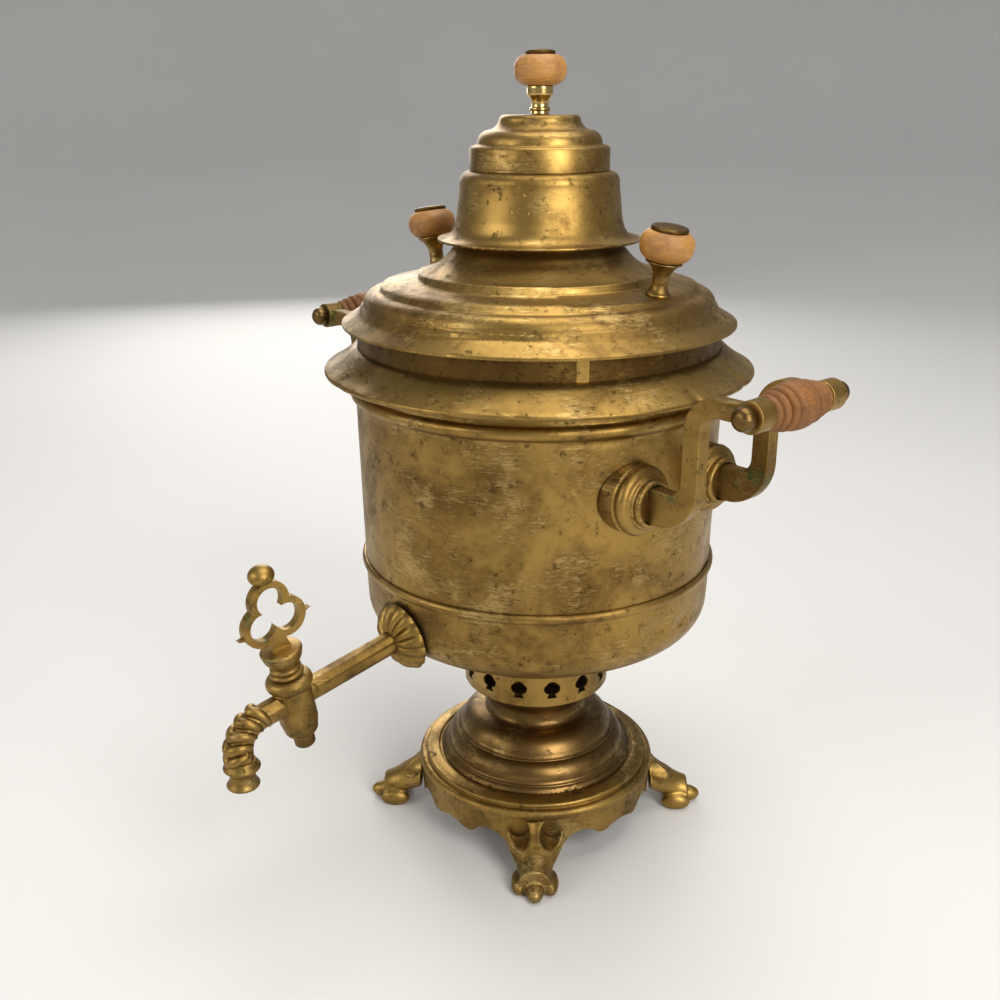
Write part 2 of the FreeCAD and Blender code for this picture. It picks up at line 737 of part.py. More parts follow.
def make_lid():
    edge, step, land, cone, neck = (
        S.lid_radius, S.step_radius, S.land_radius, S.cone_radius, S.lid_neck_radius)
    low = Z_SEAT - S.lid_drop
    spun("lid", [
        (edge, low),
        (edge, low + 1.3),
        (step + 0.5, Z_SEAT + 3.4, -0.01),
        (step, Z_SEAT + 5.7),
        (step - 1.3, Z_SEAT + 6.3),
        (land + 3.2, Z_SEAT + 14.0, 0.2),
        (land + 0.9, Z_SEAT + 14.2),
        (land, lid_land(land)),
        (cone + 0.8, lid_land(cone + 0.8)),
        (cone, lid_land(cone) + 3.2),
        (neck + 3.2, Z_SEAT + 35.2, -0.1),
        (neck, Z_SEAT + S.lid_rise - 3.6, -0.05),
        (neck, Z_SEAT + S.lid_rise),
    ])
    for side, angle in KNOB_ANGLES.items():
        drill(pieces["lid"], "stud_hole_" + side, S.stud_radius + 0.15, knob_frame(angle))
    outer = THROAT - S.sheet_wall - 0.5
    turned("lid_skirt", [
        (outer, Z_SEAT - S.skirt_depth),
        (outer, Z_SEAT + 0.9),
        (outer - S.sheet_wall, Z_SEAT + 1.3),
        (outer - S.sheet_wall, Z_SEAT - S.skirt_depth),
    ])


def make_crown():
    wall = S.crown_radius
    top = Z_CROWN + S.crown_height
    spun("crown", [
        (S.crown_flare, Z_CROWN),
        (S.crown_flare, Z_CROWN + 1.2),
        (wall + 0.9, Z_CROWN + 9.0, -0.2),
        (wall, Z_CROWN + 12.4, -0.03),
        (wall - 1.9, top - 6.4),
        (S.cap_radius + 0.8, top, 0.2),
        (S.crown_mouth, top),
    ])


def make_cap():
    band, top = S.cap_radius, S.cap_top_radius
    shoulder = Z_CAP + S.cap_band
    spun("cap", [
        (band, Z_CAP),
        (band, shoulder),
        (band - 0.8, shoulder + 1.0),
        (band - 4.2, shoulder + 2.2),
        (band - 10.6, shoulder + 9.4, 0.2),
        (top + 1.6, Z_TOP - 2.8, -0.14),
        (top - 0.8, Z_TOP, 0.16),
        (S.stud_radius + S.seat_gap, Z_TOP),
    ])
    outer = S.crown_mouth - 0.5
    under = shoulder - S.seat_gap
    spun("cap_spigot", [
        (outer, Z_CAP - S.spigot_depth),
        (outer, under - S.sheet_wall),
        (band - S.sheet_wall - S.seat_gap, under - S.sheet_wall),
    ])


# Knobs
def knob_frame(angle):
    """Where a lid knob stands, with +Z along its stud."""
    lean = Rotation(Vector(0, 1, 0), S.knob_lean.value)
    foot = Vector(S.knob_place.value, 0, lid_land(S.knob_place).value)
    turn = Placement(Vector(0, 0, 0), Rotation(Vector(0, 0, 1), angle + S.lid_turn.value))
    return turn.multiply(Placement(foot, lean))


def make_ball(name, button_name, base, button_radius, place):
    bore = S.stud_radius + 0.1
    wide = S.ball_radius
    top = base + S.ball_height
    turned(name, [
        (bore, base),
        (wide * 0.56, base),
        (wide, base + S.ball_height * 0.5, 0.2),
        (wide * 0.7, top, 0.17),
        (bore, top),
    ], place)
    seat = top + 0.1
    turned(button_name, [
        (0.0, seat),
        (button_radius, seat),
        (button_radius, seat + S.button_height * 0.45),
        (button_radius * 0.9, seat + S.button_height * 0.8, 0.2),
        (button_radius * 0.3, seat + S.button_height, 0.03),
        (0.0, seat + S.button_height),
    ], place)


def make_nut(name, top, place):
    """A hexagonal nut on a stud, just under the sheet that it holds."""
    body = new_body(name, place)
    sketch = new_sketch(body, "XY_Plane", name + "_outline",
                        Placement(Vector(0, 0, (top - S.nut_height / 2).value), Rotation()))
    sketch.setExpression("AttachmentOffset.Base.z", (top - S.nut_height / 2).text)
    polygon(sketch, 6, S.nut_width)
    circle(sketch, 0.0, 0.0, S.stud_radius + 0.1)
    pad(body, sketch, S.nut_height, name + "_pad")


def make_finial():
    foot = Z_TOP + 0.1
    rod = S.stud_radius
    top = foot + S.finial_height
    turned("finial_stem", [
        (0.0, foot - S.sheet_wall - S.nut_height - 2.0),
        (rod, foot - S.sheet_wall - S.nut_height - 2.0),
        (rod, foot),
        (4.9, foot),
        (4.7, foot + 1.8),
        (5.6, foot + 2.6, 0.3),
        (4.8, foot + 3.6, 0.3),
        (6.4, top - 5.2, -0.15),
        (6.9, top - 4.8),
        (7.1, top - 0.4),
        (6.4, top, 0.2),
        (rod, top),
        (rod, top + S.ball_height),
        (0.0, top + S.ball_height),
    ])
    make_ball("finial_ball", "finial_button", top + 0.1, S.button_radius, None)
    make_nut("finial_nut", Z_TOP - S.sheet_wall - 0.1, None)


def make_lid_knob(side, angle):
    """One of the two knobs that the lid is lifted by, square to the lid's sloping land."""
    place = knob_frame(angle)
    rod = S.stud_radius
    seat = Size.of(0.1)
    top = seat + S.knob_height
    turned("knob_stem_" + side, [
        (0.0, seat - S.sheet_wall - S.nut_height - 2.0),
        (rod, seat - S.sheet_wall - S.nut_height - 2.0),
        (rod, seat),
        (6.6, seat),
        (6.0, seat + 1.6, 0.2),
        (4.3, seat + 7.0, -0.14),
        (9.6, top - 0.8, -0.16),
        (9.2, top, 0.2),
        (rod, top),
        (rod, top + S.ball_height),
        (0.0, top + S.ball_height),
    ], place)
    make_ball("knob_ball_" + side, "knob_button_" + side, top + 0.1, S.knob_button_radius, place)
    make_nut("knob_nut_" + side, seat - S.sheet_wall - 0.3, place)


# Handles
def make_handle(side, angle):
    """Two arms that stand in bosses on the wall, a rod through their eyes and a wooden grip."""
    turn = Placement(Vector(0, 0, 0), Rotation(Vector(0, 0, 1), angle))
    width = S.arm_width
    root_z = Z_ROOT
    root_low = root_z - S.arm_root_width / 2
    root_high = root_z + S.arm_root_width / 2
    inner = S.arm_stand - width / 2
    outer = S.arm_stand + width / 2
    rod_z = Z_ROOT + S.rod_rise
    wall_radius = S.body_radius + S.wall_flare * 0.6
    inner_face = S.arm_spacing / 2 - S.arm_thickness / 2
    root_x = square_root(wall_radius * wall_radius - inner_face * inner_face) + 0.5
    limb = width * 0.45
    for direction, word in ((-1, "front"), (1, "rear")):
        name = "arm_{}_{}".format(side, word)
        middle = direction * S.arm_spacing.value / 2
        place = turn.multiply(Placement(Vector(0, middle, 0), Rotation()))
        body = new_body(name, place)
        corners = [
            (root_x, root_low),
            (root_x + 18.0, root_low),
            (outer, root_z + 15.0, 0.2),
            (outer, rod_z - 14.0),
            (outer + 9.0, rod_z - limb, -0.2),
            (S.rod_reach, rod_z - limb),
            (S.rod_reach, rod_z + limb),
            (outer + 7.0, rod_z + limb),
            (inner, rod_z - 14.0, 0.2),
            (inner, root_high + 8.0),
            (inner - 8.0, root_high, -0.2),
            (root_x, root_high),
        ]
        sketch = outline(new_sketch(body, "XZ_Plane", name + "_outline"), corners)
        pad(body, sketch, S.arm_thickness, name + "_bar")
        eye = circle(new_sketch(body, "XZ_Plane", name + "_eye_outline"),
                     S.rod_reach, rod_z, S.eye_radius)
        pad(body, eye, S.eye_length, name + "_eye")
        hole = circle(new_sketch(body, "XZ_Plane", name + "_hole_outline"),
                      S.rod_reach, rod_z, S.rod_radius + 0.1)
        pocket(body, hole, name + "_hole")
        make_boss("boss_{}_{}".format(side, word), turn, direction)
    along = Rotation(Vector(1, 0, 0), -90)
    rod_place = turn.multiply(Placement(Vector(S.rod_reach.value, 0, rod_z.value), along))
    half = S.arm_spacing / 2 + S.eye_length / 2 + 0.1
    tip = half + S.rod_end_length
    rod, end = S.rod_radius, S.rod_end_radius
    turned("rod_" + side, [
        (0.0, -tip),
        (end * 0.3, -tip),
        (end, -half - S.rod_end_length * 0.4, 0.2),
        (end, -half),
        (rod, -half),
        (rod, half),
        (end, half),
        (end, half + S.rod_end_length * 0.4),
        (end * 0.3, tip, 0.2),
        (0.0, tip),
    ], rod_place)
    make_grip("grip_" + side, rod_place)


def make_grip(name, place):
    """The turned wooden grip, which spins freely on its rod."""
    long = S.arm_spacing / 2 - S.eye_length / 2 - S.seat_gap
    bore = S.rod_radius + S.running_gap
    thick, thin = S.grip_radius, S.grip_end_radius
    grooves = [(0.34, thick * 0.84), (0.56, thick * 0.74), (0.78, thick * 0.64), (1.0, thin)]
    ridges = (0.1, 0.2, 0.2, 0.18)
    below = [(radius, -long * share, ridges[index + 1] if index < 3 else 0)
             for index, (share, radius) in reversed(list(enumerate(grooves)))]
    above = [(radius, long * share, ridges[index]) for index, (share, radius) in enumerate(grooves)]
    corners = below + above
    turned(name, [(bore, -long)] + corners + [(bore, long)], place)


def make_boss(name, turn, direction):
    """The stepped boss that an arm stands in, square to the wall."""
    wall_radius = S.body_radius + S.wall_flare
    aside = S.arm_spacing / 2
    front = square_root(wall_radius * wall_radius - aside * aside)
    y = direction * aside.value
    outwards = Rotation(Vector(0, 1, 0), 90)
    centre = Vector(front.value, y, Z_ROOT.value)
    wide, mouth, depth = S.boss_radius, S.boss_mouth, S.boss_depth
    back = S.boss_radius * 0.45
    body = turned(name, [
        (mouth, -back),
        (wide, -back),
        (wide, depth * 0.16),
        (wide - 1.4, depth * 0.22),
        (wide - 2.2, depth * 0.64, 0.3),
        (wide - 4.4, depth * 0.68),
        (wide - 4.8, depth * 0.78),
        (mouth + 1.8, depth * 0.8),
        (mouth + 1.2, depth * 0.99, 0.2),
        (mouth, depth),
    ], turn.multiply(Placement(centre, outwards)))
    fit = body.newObject("PartDesign::SubtractiveCylinder", name + "_back")
    fit.Radius = (wall_radius + S.seat_gap).value
    fit.setExpression("Radius", (wall_radius + S.seat_gap).text)
    fit.Height = 4 * wide.value
    across = Rotation(Vector(0, 1, 0), 90)
    fit.Placement = Placement(Vector(-2 * wide.value, -y, -front.value), across)
    body.Tip = fit


# Tap
def tap_frame():
    """Where the barrel's axis meets the tube's axis, with +Z up the barrel and -Y out of the tap."""
    tilt = math.radians(S.tap_tilt.value)
    wall = S.body_radius.value - 1.1
    y = -wall - S.tap_reach.value * math.cos(tilt)
    z = S.tap_height.value - S.tap_reach.value * math.sin(tilt)
    return Placement(Vector(0, y, z), Rotation(Vector(1, 0, 0), S.tap_tilt.value))


def spout_end():
    """Place of the spout's lip and the angle that its axis makes with the barrel, in the tap's frame."""
    turn = math.radians(90 - S.tap_tilt.value)
    radius = S.bend_radius.value
    y = -S.spout_reach.value - radius * math.sin(turn)
    z = -radius * (1 - math.cos(turn))
    down = math.radians(S.tap_tilt.value)
    length = S.spout_drop.value
    return y - length * math.sin(down), z - length * math.cos(down), y, z


def spout_path(body, name, start):
    """The line that the tap's tube and spout follow, in the tap's frame."""
    lip_y, lip_z, bend_y, bend_z = spout_end()
    sketch = new_sketch(body, "YZ_Plane", name)
    turn = math.radians(90 - S.tap_tilt.value)
    bow = math.tan(turn / 4) / 2
    return outline(sketch, [
        (start, 0.0),
        (-S.spout_reach, 0.0),
        (bend_y, bend_z, bow),
        (lip_y, lip_z),
    ], closed=False)


def sweep(body, kind, profile, path, name):
    feature = body.newObject("PartDesign::{}Pipe".format(kind), name)
    feature.Profile = profile
    feature.Spine = (path, [])
    feature.Mode = "Standard"
    feature.Transition = "Transformed"
    body.Tip = feature
    return feature


def make_tap():
    frame = tap_frame()
    body = new_body("tap_body", frame)
    start = S.tap_reach - S.rosette_height * 0.5
    facing = Placement(Vector(0, 0, -start.value), Rotation(Vector(0, 0, 1), 0))
    profile = polygon(new_sketch(body, "XZ_Plane", "tube_outline", facing), 8, S.tube_width)
    sweep(body, "Additive", profile, spout_path(body, "tube_path", start), "tube")
    shank_end = S.tap_reach + S.shank_length
    revolve(body, [
        (0.0, start - 1.0),
        (S.shank_radius, start - 1.0),
        (S.shank_radius, shank_end),
        (0.0, shank_end),
    ], "shank", Placement(Vector(0, 0, 0), Rotation(Vector(0, 0, 1), -90)), "YZ_Plane")
    top, low, wide = S.barrel_top, S.barrel_bottom, S.barrel_radius
    revolve(body, [
        (0.0, -low),
        (S.plug_tip_radius + 1.6, -low),
        (wide - 1.4, -low + 2.2, 0.1),
        (wide, -low + 9.0),
        (wide, top - 8.4),
        (wide - 0.8, top - 7.8),
        (wide + 0.2, top - 0.6, 0.34),
        (wide - 1.6, top),
        (0.0, top),
    ], "barrel")
    lip_y, lip_z, _, _ = spout_end()
    upright = Placement(Vector(lip_y, lip_z, 0), Rotation(Vector(0, 0, 1), -S.tap_tilt.value))
    lip = S.mouth_radius
    revolve(body, [
        (0.0, 0.0),
        (lip - 1.0, 0.0),
        (lip, 1.6, 0.2),
        (lip - 2.0, 7.4, -0.1),
        (lip + 0.4, 10.4),
        (lip + 0.4, 12.6, 0.3),
        (lip - 1.4, 15.6),
        (0.0, 15.6),
    ], "mouth", upright, "YZ_Plane")
    taper = (S.plug_radius - S.plug_tip_radius) / (top + S.plug_tip)
    gap = S.running_gap
    at_bottom = S.plug_tip_radius + (S.plug_tip - low - 1.0) * taper + gap
    at_top = S.plug_radius + taper + gap
    revolve(body, [
        (0.0, -low - 1.0),
        (at_bottom, -low - 1.0),
        (at_top, top + 1.0),
        (0.0, top + 1.0),
    ], "plug_seat", cut=True)
    bore_start = shank_end + 1.0
    facing = Placement(Vector(0, 0, -bore_start.value), Rotation())
    bore = circle(new_sketch(body, "XZ_Plane", "bore_outline", facing), 0.0, 0.0, S.bore_radius)
    path = spout_path(body, "bore_path", bore_start)
    sweep(body, "Subtractive", bore, path, "bore")
    make_key(frame)
    make_rosette(frame)
    make_tap_nut(frame)


def make_key(frame):
    """The tapered plug, its cup and the open trefoil that it is turned by, in one casting."""
    body = new_body("tap_key", frame)
    top, cup, high = S.barrel_top, S.cup_radius, S.cup_height
    rise = top + 0.4
    revolve(body, [
        (0.0, -S.plug_tip),
        (S.plug_tip_radius - 0.8, -S.plug_tip),
        (S.plug_tip_radius, -S.plug_tip + 1.0),
        (S.plug_radius, top),
        (S.plug_radius + 1.0, rise),
        (S.plug_radius + 1.2, rise + 2.4, 0.3),
        (S.plug_radius, rise + 3.0),
        (S.plug_radius + 0.6, rise + 5.4, 0.3),
        (S.plug_radius - 0.6, rise + 6.2),
        (cup, high - 2.0, 0.1),
        (cup - 0.2, high, 0.2),
        (cup * 0.55, high + 1.0),
        (0.0, high + 1.0),
    ], "plug")
    middle = Placement(Vector(0, S.trefoil_height.value, 0), Rotation())
    reach = S.trefoil_reach
    ring = S.ring_radius + S.ring_width
    disc_outline = circle(new_sketch(body, "YZ_Plane", "disc_outline", middle), 0.0, reach, ring)
    disc = pad(body, disc_outline, S.key_thickness, "disc")
    three = Size(3, "3")
    polar(body, [disc], (disc_outline, ["N_Axis"]), three, "discs")
    tip = S.point_reach
    tips = outline(new_sketch(body, "YZ_Plane", "points_outline", middle), [
        (-tip, -5.6, -0.04),
        (0.0, -9.0, 0.04),
        (tip, -5.6, 0.04),
        (0.0, -1.0, -0.04),
    ])
    pad(body, tips, S.key_thickness * 0.8, "points")
    stalk_low = high - 1.0 - S.trefoil_height
    stalk = outline(new_sketch(body, "YZ_Plane", "stalk_outline", middle), [
        (-6.5, stalk_low, -0.08),
        (6.5, stalk_low),
        (3.6, -S.ring_radius - 1.0, -0.08),
        (-3.6, -S.ring_radius - 1.0),
    ])
    pad(body, stalk, S.key_thickness, "stalk")
    hole_outline = circle(new_sketch(body, "YZ_Plane", "ring_outline", middle), 0.0, reach, S.ring_radius)
    hole = pocket(body, hole_outline, "ring_hole")
    polar(body, [hole], (hole_outline, ["N_Axis"]), three, "ring_holes")
    hub = circle(new_sketch(body, "YZ_Plane", "hub_outline", middle), 0.0, 0.0, 3.4)
    pocket(body, hub, "hub_hole")
    crest = S.trefoil_height + reach + ring
    half = S.key_ball_height / 2
    ball(body, "Additive", "key_ball", (S.key_ball_radius, S.key_ball_radius, half),
         (0, 0, crest + half - 1.6))
    way = circle(new_sketch(body, "XZ_Plane", "way_outline"), 0.0, 0.0, S.bore_radius)
    pocket(body, way, "way")


def make_rosette(frame):
    """The fluted shell that covers the hole in the bowl, with its axis along the tap's tube."""
    seat = S.tap_reach.value - 1.2
    facing = Placement(Vector(0, seat, 0), Rotation(Vector(1, 0, 0), 90))
    body = new_body("rosette", frame.multiply(facing))
    wide, high = S.rosette_radius, S.rosette_height
    hole = S.tube_width / 2 / math.cos(math.pi / 8) + 0.3
    revolve(body, [
        (hole, 0.6),
        (wide - 2.0, 0.0),
        (wide, 0.8),
        (wide - 0.4, 2.4, 0.2),
        (hole + 3.4, high, 0.2),
        (hole, high - 0.4, 0.1),
    ], "shell")
    flute = body.newObject("PartDesign::SubtractiveCone", "flute")
    flute.Radius1 = 0.5
    flute.Radius2 = 3.0
    flute.Height = wide.value
    slope = math.degrees(math.atan2(high.value * 1.15, wide.value - hole.value))
    lean = Rotation(Vector(0, 1, 0), 90 + slope)
    flute.Placement = Placement(Vector(hole.value + 1.5, 0, high.value + 0.6), lean)
    body.Tip = flute
    polar(body, [flute], (origin_plane(body, "Z_Axis"), [""]), S.flute_count, "flutes")


def make_tap_nut(frame):
    """The round nut that holds the tap from inside the bowl."""
    inside = S.tap_reach.value + S.shank_length.value - 4.0
    facing = Placement(Vector(0, inside, 0), Rotation(Vector(1, 0, 0), 90))
    turned("tap_nut", [
        (S.shank_radius + 0.1, 0.0),
        (S.shank_radius + 4.2, 0.0),
        (S.shank_radius + 4.2, 2.4),
        (S.shank_radius + 0.1, 2.4),
    ], frame.multiply(facing))


make_base()
for word, turn in (("front_right", 45), ("rear_right", 135), ("rear_left", 225), ("front_left", 315)):
    make_foot("foot_" + word, turn)
make_pedestal()
make_air_collar()
make_fire_tube()
make_shell()
make_lid()
make_crown()
make_cap()
make_finial()
for word, turn in KNOB_ANGLES.items():
    make_lid_knob(word, turn)
make_handle("right", 0)
make_handle("left", 180)
make_tap()

# The middle between the spout's front and the rim's back becomes the origin
lip_y, lip_z, _, _ = spout_end()
lip = tap_frame().multVec(Vector(0, lip_y, lip_z))
forward = (S.mouth_radius.value - lip.y - RIM.value) / 2
centring = Placement(Vector(0, forward, 0), Rotation())
for item in pieces.values():
    item.Placement = centring.multiply(item.Placement)
doc.recompute()

# Every object must have been built, and every piece must be one valid solid
for item in doc.Objects:
    if "Invalid" in item.State or "Error" in item.State:
        raise RuntimeError("{} failed: {}".format(item.Name, item.State))
for name, item in pieces.items():
    shape = item.Shape
    if shape.isNull() or not shape.isValid() or not shape.Solids:
        raise RuntimeError("{} has no valid solid".format(name))

os.makedirs("parts", exist_ok=True)
for name, item in pieces.items():
    item.Shape.exportStep("parts/{}.step".format(name))
    print("{:20s} {:2d} solid {:10.0f} mm3".format(name, len(item.Shape.Solids), item.Shape.Volume))
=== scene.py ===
import json
import math

import bmesh
import bpy
from bpy.props import FloatProperty, FloatVectorProperty, PointerProperty
from mathutils import Matrix, Vector


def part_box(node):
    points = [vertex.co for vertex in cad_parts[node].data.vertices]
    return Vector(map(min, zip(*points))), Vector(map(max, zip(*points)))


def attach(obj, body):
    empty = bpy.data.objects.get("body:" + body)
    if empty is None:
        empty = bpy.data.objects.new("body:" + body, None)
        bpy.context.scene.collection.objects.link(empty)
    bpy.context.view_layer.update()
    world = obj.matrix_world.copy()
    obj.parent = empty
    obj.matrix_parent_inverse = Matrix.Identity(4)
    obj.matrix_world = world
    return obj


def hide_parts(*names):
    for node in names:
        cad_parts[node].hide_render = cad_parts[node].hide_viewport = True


bl_info = {
    "name": "Samovar looks",
    "version": (1, 0, 0),
    "blender": (4, 5, 0),
    "location": "3D View > Sidebar > Samovar",
    "description": "Dresses the packed samovar with aged brass, wood and a studio",
    "category": "Object",
}

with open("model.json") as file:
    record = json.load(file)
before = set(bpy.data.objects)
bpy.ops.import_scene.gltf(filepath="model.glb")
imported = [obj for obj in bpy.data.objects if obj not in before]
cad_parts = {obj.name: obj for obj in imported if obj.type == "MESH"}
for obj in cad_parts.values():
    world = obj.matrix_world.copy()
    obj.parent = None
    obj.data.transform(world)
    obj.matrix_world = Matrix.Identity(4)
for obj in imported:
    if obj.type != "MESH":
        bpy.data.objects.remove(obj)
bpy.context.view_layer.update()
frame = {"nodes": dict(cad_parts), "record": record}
RECORD = frame["record"]
SLOT_OF = {entry["node"]: entry["material_slot"] for entry in RECORD["subparts"]}
BODY_OF = {node: body for body, nodes in RECORD["behaviour"]["bodies"].items() for node in nodes}

# The tap's frame: where the barrel's axis meets the tube's axis, and how far the tap points down
TAP_JOINT = next(joint for joint in RECORD["behaviour"]["joints"] if joint["name"] == "tap_turn")
TAP_CENTRE = Vector(TAP_JOINT["pos_m"])
TAP_UP = Vector(TAP_JOINT["axis"]).normalized()
TAP_SIDE = Vector((1, 0, 0))
TAP_OUT = TAP_SIDE.cross(TAP_UP)

# The upright axis of the round body, which everything is laid out about
WALL_LOW, WALL_HIGH = (Vector(corner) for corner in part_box("body_wall"))
AXIS = Vector((0, (WALL_LOW.y + WALL_HIGH.y) / 2, 0))

LOOK = "look_"
FLAT_ANGLE = 32


class Wire:
    """A shader socket that takes part in sums, products and mixes."""

    def __init__(self, tree, socket):
        self.tree = tree
        self.socket = socket

    def node(self, kind, settings=(), output=0, **inputs):
        """Adds a node: its type, its settings, then its values and links."""
        made = self.tree.nodes.new(kind)
        for name, value in dict(settings).items():
            setattr(made, name, value)
        for name, value in inputs.items():
            place = made.inputs[int(name[1:]) if name[1:].isdigit() else name.replace("_", " ")]
            if isinstance(value, Wire):
                self.tree.links.new(value.socket, place)
            else:
                place.default_value = value
        return Wire(self.tree, made.outputs[output])

    def maths(self, operation, *values):
        inputs = {"i{}".format(index): value for index, value in enumerate(values)}
        return self.node("ShaderNodeMath", {"operation": operation}, **inputs)

    def __add__(self, other):
        return self.maths("ADD", self, other)

    def __radd__(self, other):
        return self.maths("ADD", other, self)

    def __sub__(self, other):
        return self.maths("SUBTRACT", self, other)

    def __rsub__(self, other):
        return self.maths("SUBTRACT", other, self)

    def __mul__(self, other):
        return self.maths("MULTIPLY", self, other)

    def __rmul__(self, other):
        return self.maths("MULTIPLY", other, self)

    def steps(self, low, high):
        """0 under low and 1 over high, with a smooth change between them."""
        settings = {"interpolation_type": "SMOOTHSTEP", "clamp": True}
        return self.node("ShaderNodeMapRange", settings, Value=self, From_Min=low, From_Max=high)

    def noise(self, scale, detail=4.0, roughness=0.55, distortion=0.0):
        return self.node("ShaderNodeTexNoise", Vector=self, Scale=scale, Detail=detail,
                         Roughness=roughness, Distortion=distortion)

    def stretched(self, x, y, z):
        return self.node("ShaderNodeVectorMath", {"operation": "MULTIPLY"}, i0=self, i1=(x, y, z))

    def mix(self, low, high):
        """Blends two colours by this factor."""
        low, high = (value if isinstance(value, Wire) else (*value[:3], 1.0) for value in (low, high))
        return self.node("ShaderNodeMix", {"data_type": "RGBA"}, 2, i0=self, i6=low, i7=high)

    def bump(self, height):
        """A normal from a height in metres."""
        return self.node("ShaderNodeBump", Height=height, Strength=1.0, Distance=1.0)


def new_material(name, metallic, coat=0.0):
    """An empty material: its shader and the wire of its object coordinates."""
    material = bpy.data.materials.new(LOOK + name)
    material.use_nodes = True
    tree = material.node_tree
    shader = tree.nodes["Principled BSDF"]
    shader.inputs["Metallic"].default_value = metallic
    shader.inputs["Coat Weight"].default_value = coat
    return material, shader, Wire(tree, None).node("ShaderNodeTexCoord", output="Object")


def finish_material(material, shader, colour, roughness, normal):
    """Feeds the shader's inputs that change over the surface."""
    links = material.node_tree.links
    links.new(colour.socket, shader.inputs["Base Color"])
    links.new(roughness.socket, shader.inputs["Roughness"])
    links.new(normal.socket, shader.inputs["Normal"])
    return material


def shade(colour, share):
    """A colour made darker or brighter."""
    return tuple(channel * share for channel in colour)


def metal(name, dark, middle, bright, age=0.5, dull=0.34, relief=1.0, green=0.0):
    """Old metal: cloudy patina, dark specks, rubbed places lightened in a painted highlight colour, fine
    scratches and verdigris.
    """
    material, shader, place = new_material(name, 1.0)
    cloud = place.noise(14.0, 6.0, 0.62, 0.6)
    drift = place.noise(34.0, 5.0, 0.6)
    speck = place.noise(260.0, 3.0, 0.6)
    grain = place.noise(900.0, 2.0, 0.5)
    scratch = place.stretched(1.0, 1.0, 7.0).noise(150.0, 3.0, 0.7, 1.2)
    mottle = place.noise(95.0, 5.0, 0.68)
    tarnish = (cloud * 0.5 + drift * 0.3 + mottle * 0.2 + (age - 0.5)).steps(0.42, 0.6)
    # Rubbed places are wear and painted highlight together: random patches mixed towards a colour taken from
    # highlights.
    rubbed_highlight = (drift * 0.5 + scratch * 0.3 + mottle * 0.2).steps(0.5, 0.62)
    spots = speck.steps(0.55, 0.66) * mottle.steps(0.44, 0.6)
    colour = tarnish.mix(middle, dark)
    colour = (rubbed_highlight * 0.5).mix(colour, bright)
    colour = (spots * (0.4 + 0.5 * age)).mix(colour, shade(dark, 0.3))
    if green:
        verdigris = (cloud * 0.4 + mottle * 0.6).steps(0.52, 0.62) * green
        colour = verdigris.mix(colour, (0.075, 0.13, 0.045))
    roughness = dull + 0.16 * tarnish + 0.12 * spots + 0.08 * (grain - 0.5) - 0.06 * rubbed_highlight
    height = relief * (0.00022 * cloud + 0.00006 * drift + 0.000012 * scratch + 0.000006 * grain)
    return finish_material(material, shader, colour, roughness, place.bump(height))


def wood(name, light, brown, worn, rings, gloss=0.42):
    """Turned wood: growth rings along one axis, pores, and darker, worn patches."""
    material, shader, place = new_material(name, 0.0, 0.02)
    warp = place.noise(40.0, 3.0)
    bands = (place.stretched(*rings).noise(220.0, 4.0, 0.6, 0.8)).steps(0.35, 0.65)
    pores = place.stretched(*(4.0 / max(value, 1.0) for value in rings)).noise(900.0, 2.0)
    dirt = place.noise(95.0, 5.0, 0.65).steps(0.45, 0.68)
    colour = bands.mix(light, brown)
    colour = (warp.steps(0.4, 0.7) * 0.4).mix(colour, worn)
    colour = (dirt * 0.65).mix(colour, worn)
    colour = (pores.steps(0.6, 0.7) * 0.5).mix(colour, shade(worn, 0.4))
    roughness = gloss + 0.18 * dirt + 0.06 * bands
    height = 0.00006 * bands + 0.00005 * pores + 0.00008 * dirt
    return finish_material(material, shader, colour, roughness, place.bump(height))


# Geometry
def own_mesh(node):
    """A welded copy of a CAD node's mesh, to be dressed without changing the node itself."""
    mesh = frame["nodes"][node].data.copy()
    mesh.materials.clear()
    welded = bmesh.new()
    welded.from_mesh(mesh)
    bmesh.ops.remove_doubles(welded, verts=welded.verts, dist=2e-6)
    bmesh.ops.dissolve_degenerate(welded, edges=welded.edges, dist=1e-6)
    return mesh, welded


def put(name, mesh, material, node, replaces=False):
    """Adds a piece to the scene with the given material, on the body of a node that it may stand in for."""
    mesh.materials.append(material)
    piece = bpy.data.objects.new(name, mesh)
    bpy.context.scene.collection.objects.link(piece)
    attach(piece, BODY_OF[node])
    if replaces:
        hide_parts(node)
    return piece


def smooth(mesh, angle):
    """Shades a mesh smoothly, but not over edges sharper than the angle in degrees."""
    mesh.shade_smooth()
    mesh.set_sharp_from_angle(angle=math.radians(angle))


def azimuth(point):
    """Angle of a point round the urn, in degrees from the tap's side towards +X."""
    return math.degrees(math.atan2(point.x, -point.y))


# How far from its middle a dent still bends the sheet, in widths of the dent, and how fine the mesh is there
DENT_REACH = 2.4
DENT_EDGES = (0.016, 0.008, 0.004, 0.0025)


def nearness(point, dent):
    """How far a point is from the middle of a dent, in widths of the dent."""
    angle, height, across, up = dent[:4]
    turn = (azimuth(point - AXIS) - angle + 180) % 360 - 180
    radius = math.hypot(point.x, point.y - AXIS.y)
    return math.hypot(math.radians(turn) * radius / across, (point.z - height) / up)


def near_dents(edge, dents, limit):
    """Whether an edge is longer than the limit and close enough to a dent to be split for it."""
    middle = (edge.verts[0].co + edge.verts[1].co) / 2
    return edge.calc_length() > limit and any(
        nearness(middle, dent) < DENT_REACH + limit / dent[2] for dent in dents)


